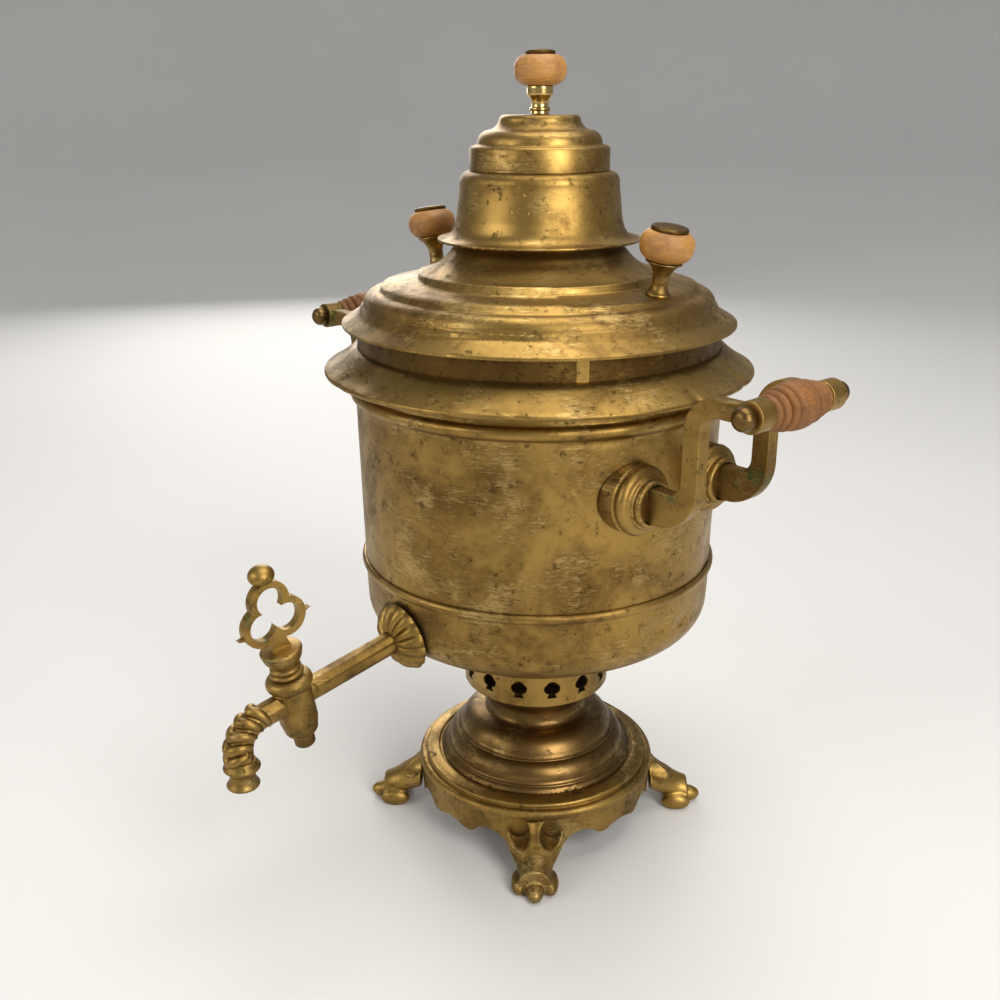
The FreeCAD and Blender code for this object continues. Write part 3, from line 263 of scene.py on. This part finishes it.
def press_dents(welded, dents, depth):
    """Pushes dents into a round sheet: each is angle, height, width, height of the dent and depth."""
    for limit in DENT_EDGES:
        found = [edge for edge in welded.edges if near_dents(edge, dents, limit)]
        bmesh.ops.subdivide_edges(welded, edges=found, cuts=1)
        bmesh.ops.triangulate(welded, faces=[face for face in welded.faces if len(face.verts) > 3])
    for vertex in welded.verts:
        outwards = Vector((vertex.co.x, vertex.co.y - AXIS.y, 0)).normalized()
        push = sum(dent[4] * math.exp(-nearness(vertex.co, dent) ** 2) for dent in dents)
        vertex.co -= outwards * push * depth


def dress(node, material, dents=(), depth=1.0, bevel=0.0):
    """Shows a CAD node through a smoothly shaded copy, dented or with softened edges."""
    mesh, welded = own_mesh(node)
    if dents:
        press_dents(welded, dents, depth)
    welded.to_mesh(mesh)
    welded.free()
    smooth(mesh, FLAT_ANGLE)
    piece = put(node + "_dressed", mesh, material, node, replaces=True)
    if bevel:
        modifier = piece.modifiers.new("softened", "BEVEL")
        modifier.width = bevel
        modifier.segments = 2
        modifier.limit_method = "ANGLE"
        modifier.angle_limit = math.radians(40)
        modifier.harden_normals = True
    return piece


def grid_mesh(name, rows, closed_across=True, capped=False):
    """A mesh through rows of points, each row as long as the others."""
    mesh = bpy.data.meshes.new(name)
    built = bmesh.new()
    made = [[built.verts.new(point) for point in row] for row in rows]
    width = len(rows[0])
    last = width if closed_across else width - 1
    for low, high in zip(made, made[1:]):
        for index in range(last):
            following = (index + 1) % width
            built.faces.new((low[index], low[following], high[following], high[index]))
    if capped:
        built.faces.new(made[0][::-1])
        built.faces.new(made[-1])
    bmesh.ops.recalc_face_normals(built, faces=built.faces)
    built.to_mesh(mesh)
    built.free()
    return mesh


def ring(centre, across, over, radius, count):
    """Points on a circle that lies in the plane of two directions."""
    turns = (2 * math.pi * step / count for step in range(count))
    return [centre + across * (radius * math.cos(turn)) + over * (radius * math.sin(turn)) for turn in turns]


def tube_rows(points, radii, sides, up):
    """Rings of points round a path, with the first point of each ring towards up."""
    rows = []
    for index, (point, radius) in enumerate(zip(points, radii)):
        before = points[max(index - 1, 0)]
        after = points[min(index + 1, len(points) - 1)]
        along = (after - before).normalized()
        side = up - along * up.dot(along)
        side.normalize()
        rows.append(ring(point, side, along.cross(side), radius, sides))
    return rows


# Pieces: the dents of each sheet, as press_dents takes them
RIM_DENTS = [
    (-6, 0.2985, 0.010, 0.006, 0.0019),
    (-14, 0.2955, 0.006, 0.004, 0.0012),
    (42, 0.2935, 0.004, 0.003, 0.0013),
    (88, 0.2925, 0.003, 0.004, 0.0018),
    (111, 0.2990, 0.004, 0.009, 0.0017),
    (152, 0.2960, 0.012, 0.005, 0.0013),
    (238, 0.2950, 0.009, 0.005, 0.0014),
    (300, 0.2990, 0.014, 0.006, 0.0010),
]
WALL_DENTS = [
    (26, 0.2050, 0.022, 0.026, 0.0009),
    (70, 0.2380, 0.016, 0.022, 0.0007),
    (118, 0.1960, 0.012, 0.014, 0.0010),
    (205, 0.2300, 0.024, 0.020, 0.0009),
    (285, 0.2120, 0.018, 0.024, 0.0009),
]
BOWL_DENTS = [
    (87, 0.1640, 0.007, 0.005, 0.0016),
    (99, 0.1610, 0.006, 0.004, 0.0012),
    (61, 0.1500, 0.016, 0.006, 0.0008),
    (182, 0.1580, 0.013, 0.007, 0.0012),
    (250, 0.1660, 0.009, 0.005, 0.0010),
]
LID_DENTS = [
    (38, 0.3265, 0.011, 0.004, 0.0012),
    (75, 0.3500, 0.010, 0.008, 0.0007),
    (200, 0.3260, 0.012, 0.004, 0.0010),
    (320, 0.3450, 0.012, 0.008, 0.0007),
]
PEDESTAL_DENTS = [
    (10, 0.0620, 0.010, 0.006, 0.0010),
    (130, 0.0660, 0.008, 0.006, 0.0007),
]
CROWN_DENTS = [
    (60, 0.3840, 0.011, 0.013, 0.0007),
    (170, 0.3800, 0.010, 0.010, 0.0007),
]
DENTS = {
    "rim_flare": RIM_DENTS,
    "body_wall": WALL_DENTS,
    "bowl": BOWL_DENTS,
    "lid": LID_DENTS,
    "pedestal": PEDESTAL_DENTS,
    "crown": CROWN_DENTS,
}
# How wide the edges of castings are rounded, and which nodes look unlike their slot
SOFT_EDGES = {
    "arm_": 0.0016,
    "tap_key": 0.0009,
    "tap_body": 0.0005,
    "base_plate": 0.0006,
}
OWN_LOOK = {
    "throat": "dark_brass",
    "arm_": "verdigris_brass",
    "tap_key": "verdigris_brass",
    "knob_button": "dark_brass",
    "finial_button": "dark_brass",
}


def own_material(node, materials):
    """The material of the node's slot, or one like it that is darker or greener."""
    own = next((look for start, look in OWN_LOOK.items() if node.startswith(start)), SLOT_OF[node])
    return materials[own]


def dress_nodes(nodes, materials, depth):
    """Dresses nodes with the material, dents and soft edges that belong to each."""
    for node in nodes:
        bevel = next((size for start, size in SOFT_EDGES.items() if node.startswith(start)), 0.0)
        dress(node, own_material(node, materials), dents=DENTS.get(node, ()), depth=depth, bevel=bevel)


def make_rosette(settings, material):
    """The fluted shell round the tap's tube."""
    low, high = (Vector(corner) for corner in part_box("rosette"))
    rise = 0.0092
    centre = TAP_CENTRE + TAP_OUT * (((low + high) / 2 - TAP_CENTRE).dot(TAP_OUT) - rise / 2)
    outer = 0.0203
    inner = 0.0068
    lip = 0.0006
    flutes = 16
    points = flutes * 8
    steps = 20
    rows = []
    for step in range(steps):
        share = step / (steps - 1)
        radius = inner + (outer - inner) * share
        dome = rise * (1 - share ** 1.9) ** 0.75 if share < 1 else 0.0
        deep = settings.flute_depth * math.sin(math.pi * min(0.12 + share * 0.8, 1.0))
        row = []
        for index in range(points):
            turn = 2 * math.pi * index / points
            ridge = abs(math.sin(turn * flutes / 2)) ** 0.8
            reach = radius * (1 - 0.05 * share * (1 - ridge))
            across = TAP_SIDE * math.cos(turn) + TAP_UP * math.sin(turn)
            row.append(centre + across * reach + TAP_OUT * (dome - deep * (1 - ridge)))
        rows.append(row)
    foot = [point - TAP_OUT * lip for point in rows[-1]]
    back = [centre + (point - centre).normalized() * inner for point in rows[-1]]
    mesh = grid_mesh("rosette_shell", rows + [foot, back])
    smooth(mesh, 75)
    put("rosette_shell", mesh, material, "rosette", replaces=True)


def make_leaves(material):
    """The relief of leaves on the outside of the spout's bend."""
    start = 0.020
    bend = 0.016
    section = 0.0064
    half_wrap = math.radians(128)
    lean = 17
    half_steps = 12
    pivot = TAP_CENTRE + TAP_OUT * start - TAP_UP * bend
    for number, degrees in enumerate((-4, 16, 36, 56, 74)):
        name = "spout_leaf_{}".format(number)
        points, radii = [], []
        for step in range(2 * half_steps + 1):
            share = step / half_steps - 1
            round_section = share * half_wrap
            slant = math.radians(degrees + lean * (1 - abs(share)) ** 1.4)
            outside = TAP_UP * math.cos(slant) + TAP_OUT * math.sin(slant)
            reach = bend + section * math.cos(round_section)
            points.append(pivot + outside * reach + TAP_SIDE * (section * math.sin(round_section)))
            radii.append(0.0005 + 0.0025 * math.cos(share * math.pi / 2) ** 0.7)
        mesh = grid_mesh(name, tube_rows(points, radii, 12, TAP_OUT), capped=True)
        smooth(mesh, 60)
        put(name, mesh, material, "tap_body")


def make_boss_faces(material):
    """The shallow floor of each boss's mouth, round the root of the arm."""
    for node in chosen("boss_"):
        low, high = (Vector(corner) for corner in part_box(node))
        centre = (low + high) / 2
        inwards = -1.0 if centre.x > 0 else 1.0
        centre.x = low.x if centre.x < 0 else high.x
        rows = []
        for radius, depth in ((0.0105, 0.0030), (0.0101, 0.0018), (0.0090, 0.0013), (0.0002, 0.0014)):
            floor = centre + Vector((inwards * depth, 0, 0))
            rows.append(ring(floor, Vector((0, 1, 0)), Vector((0, 0, 1)), radius, 48))
        mesh = grid_mesh(node + "_face", rows)
        smooth(mesh, 50)
        put(node + "_face", mesh, material, node)


# Where the bulb and the ridges of a grip end, as shares of its half length, and their largest radii
GRIP_BANDS = (0.0, 0.34, 0.56, 0.78, 1.0)
GRIP_TOPS = (0.0118, 0.0107, 0.0095, 0.0084)


def grip_radius(share):
    """Radius of a grip at a share of its half length: a bulb, then three ridges with grooves between."""
    band = sum(share >= edge for edge in GRIP_BANDS[1:-1])
    if band == 0:
        across = share / GRIP_BANDS[1]
        return GRIP_TOPS[0] - 0.0009 * across ** 2 - 0.0021 * across ** 8
    start, end = GRIP_BANDS[band:band + 2]
    across = abs(2 * (share - start) / (end - start) - 1)
    return GRIP_TOPS[band] - 0.0019 * across ** 2.4


def make_grips(material):
    """The turned wooden grips, worn round on their ridges."""
    steps = 75
    bore = 0.0028
    for node in chosen("grip_"):
        low, high = (Vector(corner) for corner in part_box(node))
        centre = (low + high) / 2
        long = (high.y - low.y) / 2
        shares = [step / steps for step in range(-steps, steps + 1)]
        outline = [(share, grip_radius(abs(share))) for share in shares]
        rows = []
        for share, radius in [(-1.0, bore)] + outline + [(1.0, bore)]:
            middle = centre + Vector((0, long * share, 0))
            rows.append(ring(middle, Vector((1, 0, 0)), Vector((0, 0, 1)), radius, 72))
        mesh = grid_mesh(node + "_turned", rows)
        smooth(mesh, 50)
        put(node + "_turned", mesh, material, node, replaces=True)


def soften(piece, voxel, passes):
    """Melts the joints of a casting into one soft skin."""
    remesh = piece.modifiers.new("one_skin", "REMESH")
    remesh.mode = "VOXEL"
    remesh.voxel_size = voxel
    remesh.use_smooth_shade = True
    relax = piece.modifiers.new("relaxed", "SMOOTH")
    relax.factor = 0.5
    relax.iterations = passes


def make_seam(material):
    """The lapped seam of the throat, a strip that stands a little proud."""
    angle = math.radians(59)
    rows = []
    for height in (0.3065, 0.3185):
        row = []
        for turn, radius in ((-0.035, 0.1029), (-0.03, 0.1034), (0.03, 0.1034), (0.035, 0.1029)):
            outwards = Vector((math.sin(angle + turn), -math.cos(angle + turn), 0))
            row.append(AXIS + outwards * radius + Vector((0, 0, height)))
        rows.append(row)
    mesh = grid_mesh("throat_seam", rows, closed_across=False)
    put("throat_seam", mesh, material, "throat")


def look_from_photo():
    """The camera where the photograph was taken from, fitted to the urn's rims and feet."""
    side = math.radians(46.8)
    distance = 0.625
    height = 0.4336
    pitch = math.radians(19.71)
    yaw = math.radians(-2.05)
    roll = math.radians(-0.27)
    forward = Vector((-math.sin(side), math.cos(side), 0))
    right = Vector((math.cos(side), math.sin(side), 0))
    up = Vector((0, 0, 1))
    aim = (forward * math.cos(yaw) + right * math.sin(yaw)) * math.cos(pitch) - up * math.sin(pitch)
    across = aim.cross(up).normalized()
    over = across.cross(aim)
    rolled = across * math.cos(roll) + over * math.sin(roll)
    over = over * math.cos(roll) - across * math.sin(roll)
    data = bpy.data.cameras.new("camera")
    data.lens = 39.67
    data.sensor_width = 36.0
    data.clip_start = 0.01
    camera = bpy.data.objects.new("camera", data)
    turn = Matrix((rolled, over, -aim)).transposed().to_4x4()
    camera.matrix_world = Matrix.Translation(AXIS - forward * distance + up * height) @ turn
    bpy.context.scene.collection.objects.link(camera)
    bpy.context.scene.camera = camera


def soft_light(name, place, height, size, power):
    """A wide lamp of warm white light that is aimed at a height of the urn."""
    data = bpy.data.lights.new(name, "AREA")
    data.shape = "RECTANGLE"
    data.size, data.size_y = size
    data.energy = power
    data.color = (1.0, 0.98, 0.95)
    light = bpy.data.objects.new(name, data)
    aim = Vector((0, 0, height)) - Vector(place)
    turn = aim.to_track_quat("-Z", "Y").to_matrix().to_4x4()
    light.matrix_world = Matrix.Translation(Vector(place)) @ turn
    bpy.context.scene.collection.objects.link(light)


def make_floor():
    """A plain pale floor that curves up behind the urn on every side."""
    outline = ((1e-4, 0.0), (0.4, 0.0), (1.2, 0.0), (2.2, 0.0), (3.2, 0.25), (3.8, 1.0), (4.0, 2.4))
    mesh = grid_mesh("floor", [ring(Vector((0, 0, height)), Vector((1, 0, 0)), Vector((0, 1, 0)), radius, 64)
                               for radius, height in outline])
    smooth(mesh, 80)
    material, shader, place = new_material("pale_floor", 0.0)
    cloud = place.noise(1.6, 4.0)
    colour = cloud.mix((0.60, 0.59, 0.57), (0.66, 0.65, 0.63))
    finish_material(material, shader, colour, 0.62 + 0.1 * cloud, place.bump(0.0002 * place.noise(60.0)))
    mesh.materials.append(material)
    floor = bpy.data.objects.new("floor", mesh)
    bpy.context.scene.collection.objects.link(floor)


def make_materials(settings):
    """One material for each of the record's slots, and two more for what is darker or greener."""
    # The bright colour stands for rubbed brass and is also a painted highlight colour; bright_brass takes it
    # as its middle colour.
    dark, middle, bright = settings.brass_dark, settings.brass, settings.brass_bright
    copper, pale, grip = settings.copper, settings.pale_wood, settings.grip_wood
    metal("aged_brass", dark, middle, bright, 0.5, 0.38)
    metal("dark_brass", shade(dark, 0.6), dark, middle, 0.54, 0.42)
    metal("verdigris_brass", dark, middle, bright, 0.52, 0.42, 1.6, 0.75)
    metal("cast_brass", shade(dark, 0.8), middle, bright, 0.51, 0.42, 1.6, 0.15)
    metal("coppery_brass", shade(copper, 0.45), copper, shade(bright, 0.8), 0.5, 0.34)
    metal("bright_brass", middle, bright, shade(bright, 1.15), 0.42, 0.2, 0.5)
    metal("sooted_brass", (0.03, 0.026, 0.022), (0.09, 0.07, 0.05), (0.2, 0.15, 0.09), 0.6, 0.6)
    metal("grate_iron", (0.02, 0.018, 0.016), (0.06, 0.052, 0.046), (0.12, 0.1, 0.09), 0.55, 0.62, 2.0)
    wood("pale_wood", pale, shade(pale, 0.72), (0.22, 0.10, 0.032), (1.0, 1.0, 9.0))
    wood("worn_wood", grip, shade(grip, 0.6), (0.11, 0.045, 0.012), (9.0, 1.0, 9.0), 0.6)


def colour_property(name, value, words):
    """A colour that a user may change."""
    return FloatVectorProperty(name=name, description=words, default=value, subtype="COLOR", min=0.0, max=1.0)


class SamovarSettings(bpy.types.PropertyGroup):
    """Sizes and colours of the samovar's looks."""

    brass: colour_property("Brass", (0.33, 0.205, 0.055), "Middle colour of the aged brass")
    brass_dark: colour_property("Dark brass", (0.130, 0.072, 0.020), "Colour of the brown patina")
    # Colour of rubbed places, which is also a painted highlight colour.
    brass_bright: colour_property("Bright brass", (0.64, 0.455, 0.17), "Colour of rubbed places")
    copper: colour_property("Coppery brass", (0.185, 0.108, 0.036), "Colour of the pedestal")
    pale_wood: colour_property("Pale wood", (0.50, 0.235, 0.045), "Colour of the turned knobs")
    grip_wood: colour_property("Grip wood", (0.25, 0.092, 0.012), "Colour of the handles' grips")
    dent_depth: FloatProperty(
        name="Dent depth", description="How deep the dents are, as a share of the real ones",
        default=1.0, min=0.0, max=2.0)
    flute_depth: FloatProperty(
        name="Flute depth", description="Depth of the flutes in the tap's rosette",
        default=0.0022, min=0.0, max=0.004, unit="LENGTH")


def chosen(*starts):
    """The nodes whose names begin with one of the given words."""
    return [node for node in SLOT_OF if node.startswith(starts)]


def own_materials(settings):
    """The slots' materials by name, made once."""
    if LOOK + "aged_brass" not in bpy.data.materials:
        make_materials(settings)
    return {material.name[len(LOOK):]: material for material in bpy.data.materials
            if material.name.startswith(LOOK)}


class SAMOVAR_OT_sheet(bpy.types.Operator):
    """Dress the spun sheet: body, rim, throat, lid, crown and cap"""

    bl_idname = "samovar.sheet"
    bl_label = "Spun sheet"

    def execute(self, context):
        settings = context.scene.samovar
        materials = own_materials(settings)
        nodes = chosen("bowl", "body_wall", "bead_band", "rim_flare", "throat", "lid", "crown", "cap",
                       "fire_tube", "air_collar", "pedestal", "grate")
        dress_nodes(nodes, materials, settings.dent_depth)
        make_seam(materials["aged_brass"])
        return {"FINISHED"}


class SAMOVAR_OT_base(bpy.types.Operator):
    """Dress the cast base and its paw feet"""

    bl_idname = "samovar.base"
    bl_label = "Base and feet"

    def execute(self, context):
        settings = context.scene.samovar
        materials = own_materials(settings)
        dress_nodes(["base_plate"], materials, settings.dent_depth)
        for node in chosen("foot_"):
            soften(dress(node, own_material(node, materials)), voxel=0.0007, passes=7)
        return {"FINISHED"}


class SAMOVAR_OT_knobs(bpy.types.Operator):
    """Dress the turned wooden knobs with their stems, buttons and nuts"""

    bl_idname = "samovar.knobs"
    bl_label = "Knobs"

    def execute(self, context):
        settings = context.scene.samovar
        dress_nodes(chosen("knob_", "finial_"), own_materials(settings), settings.dent_depth)
        return {"FINISHED"}


class SAMOVAR_OT_handles(bpy.types.Operator):
    """Dress the two handles: bosses, arms, rods and wooden grips"""

    bl_idname = "samovar.handles"
    bl_label = "Handles"

    def execute(self, context):
        settings = context.scene.samovar
        materials = own_materials(settings)
        dress_nodes(chosen("arm_", "boss_", "rod_"), materials, settings.dent_depth)
        make_grips(materials["worn_wood"])
        make_boss_faces(materials["dark_brass"])
        return {"FINISHED"}


class SAMOVAR_OT_tap(bpy.types.Operator):
    """Dress the tap, its key and its fluted rosette"""

    bl_idname = "samovar.tap"
    bl_label = "Tap"

    def execute(self, context):
        settings = context.scene.samovar
        materials = own_materials(settings)
        dress_nodes(chosen("tap_"), materials, settings.dent_depth)
        make_rosette(settings, own_material("rosette", materials))
        make_leaves(own_material("tap_body", materials))
        return {"FINISHED"}


class SAMOVAR_OT_stage(bpy.types.Operator):
    """Add the floor, the soft studio lights and the camera"""

    bl_idname = "samovar.stage"
    bl_label = "Stage"

    def execute(self, context):
        make_floor()
        look_from_photo()
        soft_light("window", (1.5, -0.25, 1.0), 0.28, (0.7, 1.3), 26)
        soft_light("front", (-0.5, -1.9, 1.1), 0.2, (1.2, 1.0), 16)
        soft_light("overhead", (0.1, 0.3, 2.1), 0.3, (1.6, 1.4), 30)
        soft_light("back", (-1.6, 0.9, 0.9), 0.3, (0.9, 1.2), 14)
        world = bpy.data.worlds.new("studio")
        world.use_nodes = True
        background = world.node_tree.nodes["Background"]
        background.inputs["Color"].default_value = (0.80, 0.83, 0.88, 1.0)
        background.inputs["Strength"].default_value = 0.35
        context.scene.world = world
        context.scene.view_settings.view_transform = "Standard"
        return {"FINISHED"}


STEPS = (SAMOVAR_OT_sheet, SAMOVAR_OT_base, SAMOVAR_OT_knobs, SAMOVAR_OT_handles, SAMOVAR_OT_tap,
         SAMOVAR_OT_stage)


class SAMOVAR_PT_looks(bpy.types.Panel):
    """Settings and steps of the samovar's looks"""

    bl_label = "Samovar"
    bl_space_type = "VIEW_3D"
    bl_region_type = "UI"
    bl_category = "Samovar"

    def draw(self, context):
        for name in SamovarSettings.__annotations__:
            self.layout.prop(context.scene.samovar, name)
        for step in STEPS:
            self.layout.operator(step.bl_idname)


CLASSES = (SamovarSettings, *STEPS, SAMOVAR_PT_looks)


def register():
    for entry in CLASSES:
        bpy.utils.register_class(entry)
    bpy.types.Scene.samovar = PointerProperty(type=SamovarSettings)


def unregister():
    del bpy.types.Scene.samovar
    for entry in reversed(CLASSES):
        bpy.utils.unregister_class(entry)


def main():
    register()
    bpy.ops.samovar.sheet()
    bpy.ops.samovar.base()
    bpy.ops.samovar.knobs()
    bpy.ops.samovar.handles()
    bpy.ops.samovar.tap()
    bpy.ops.samovar.stage()


if __name__ == "__main__":
    main()
